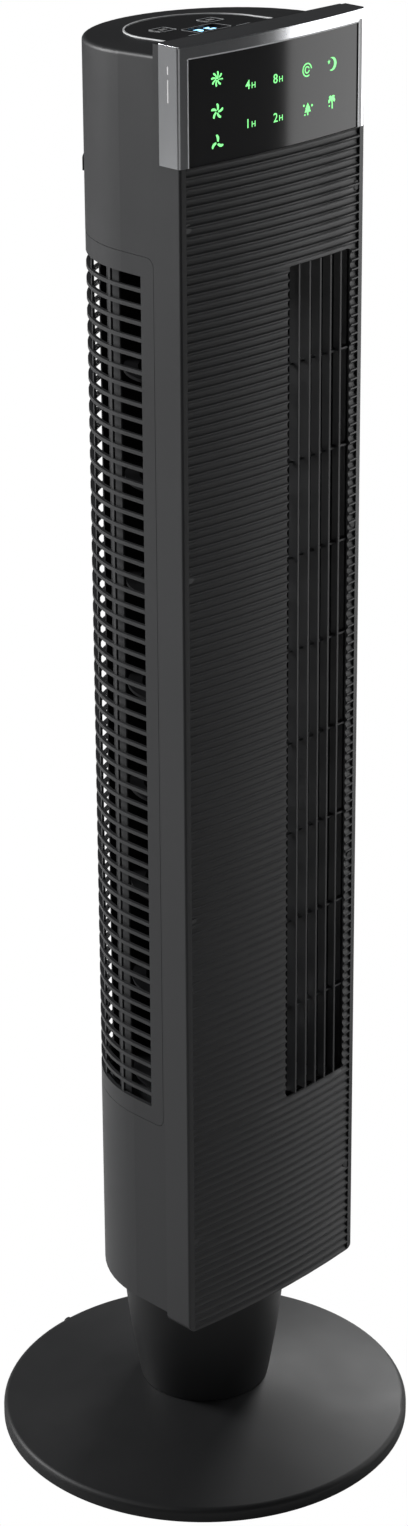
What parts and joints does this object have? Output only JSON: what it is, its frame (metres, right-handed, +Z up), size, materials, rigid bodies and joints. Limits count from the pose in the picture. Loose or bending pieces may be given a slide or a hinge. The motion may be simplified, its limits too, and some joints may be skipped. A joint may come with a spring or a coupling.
{
  "type": "tower fan",
  "caption": "Slim oscillating tower fan: ribbed charcoal tower with a side air outlet, wrap-round inlet grille, lit display and key pad on top, on a round weighted base.",
  "frame": {"origin": "on the floor, on the oscillation axis, at the centre of the round base", "axes": "+Z up, the front with the ribs and the outlet faces -Y, +X to the right of a tower seen from behind its display"},
  "size_m": [0.292, 0.2936, 1.016],
  "materials": {
    "charcoal": "fine matt texture",
    "front": "fine matt texture",
    "grille": "fine matt texture",
    "inner_black": "matt",
    "panel_black": "polished",
    "bezel_silver": "polished plated moulding",
    "lens_black": "polished smoked",
    "silver": "satin plated",
    "key_black": "satin",
    "rubber": "matt",
    "steel": "bright zinc plate",
    "plated_steel": "galvanised",
    "nylon": "moulded",
    "board": "solder mask",
    "lamp": "diffused",
    "digits": "smooth",
    "copper": "enamelled wire and lamination",
    "bronze": "sintered",
    "transformer": "taped",
    "component": "moulded",
    "capacitor": "moulded",
    "wire": "sleeved"
  },
  "bodies": {
    "base": {"base_cover": "charcoal", "ballast_plate": "plated_steel", "plate_screws": "steel", "rubber_feet": "rubber", "cord_grommet": "rubber", "neck": "charcoal", "neck_screws": "steel", "pivot_post": "nylon", "pivot_screws": "steel", "thrust_washer": "nylon", "fixed_gear": "nylon", "retaining_clip": "steel"},
    "tower": {"bottom_cover": "charcoal", "bottom_screws": "steel", "rear_housing": "charcoal", "hand_pocket": "charcoal", "inlet_grille": "grille", "front_panel": "front", "front_screws": "steel", "outlet_grille": "front", "display_bezel": "bezel_silver", "display_lens": "lens_black", "display_tray": "inner_black", "display_board": "board", "board_spacers": "nylon", "display_lamps": "lamp", "control_panel": "panel_black", "panel_ring": "silver", "control_board": "board", "key_switches": "component", "digit_display": "digits", "lower_bracket": "plated_steel", "upper_bracket": "plated_steel", "bearing_rubber": "rubber", "bearing_bush": "bronze", "scroll_housing": "inner_black", "vortex_tongue": "inner_black", "motor_can": "plated_steel", "motor_stator": "copper", "motor_cushions": "rubber", "motor_screws": "steel", "osc_motor": "steel", "osc_bracket": "plated_steel", "power_board": "board", "transformer": "transformer", "run_capacitor": "capacitor", "board_bracket": "plated_steel", "wiring_loom": "wire"},
    "impeller": {"impeller": "inner_black", "motor_rotor": "steel", "drive_hub": "steel", "end_shaft": "steel"},
    "pinion": {"osc_pinion": "nylon"},
    "key_timer": {"key_timer": "key_black"},
    "key_speed": {"key_speed": "key_black"},
    "key_swing": {"key_swing": "key_black"},
    "key_power": {"key_power": "key_black"}
  },
  "joints": [
    {"name": "oscillation", "type": "hinge", "parent": "base", "child": "tower", "pos_m": [0, 0, 0.1369], "axis": [0, 0, 1], "range_deg": [-40, 40]},
    {"name": "impeller_spin", "type": "hinge", "parent": "tower", "child": "impeller", "pos_m": [-0.006, -0.002, 0.275], "axis": [0, 0, 1], "continuous": true},
    {"name": "pinion_spin", "type": "hinge", "parent": "tower", "child": "pinion", "pos_m": [0, -0.0375, 0.1464], "axis": [0, 0, 1], "range_deg": [-165, 165]},
    {"name": "key_timer_press", "type": "slide", "parent": "tower", "child": "key_timer", "axis": [0, -0.0454, -0.999], "range_m": [0, 0.0008], "stiffness_N_per_m": 900},
    {"name": "key_speed_press", "type": "slide", "parent": "tower", "child": "key_speed", "axis": [0, -0.0454, -0.999], "range_m": [0, 0.0008], "stiffness_N_per_m": 900},
    {"name": "key_swing_press", "type": "slide", "parent": "tower", "child": "key_swing", "axis": [0, -0.0454, -0.999], "range_m": [0, 0.0008], "stiffness_N_per_m": 900},
    {"name": "key_power_press", "type": "slide", "parent": "tower", "child": "key_power", "axis": [0, -0.0454, -0.999], "range_m": [0, 0.0008], "stiffness_N_per_m": 900}
  ],
  "couplings": [
    {"joint": "pinion_spin", "follows": "oscillation", "ratio": 4}
  ]
}
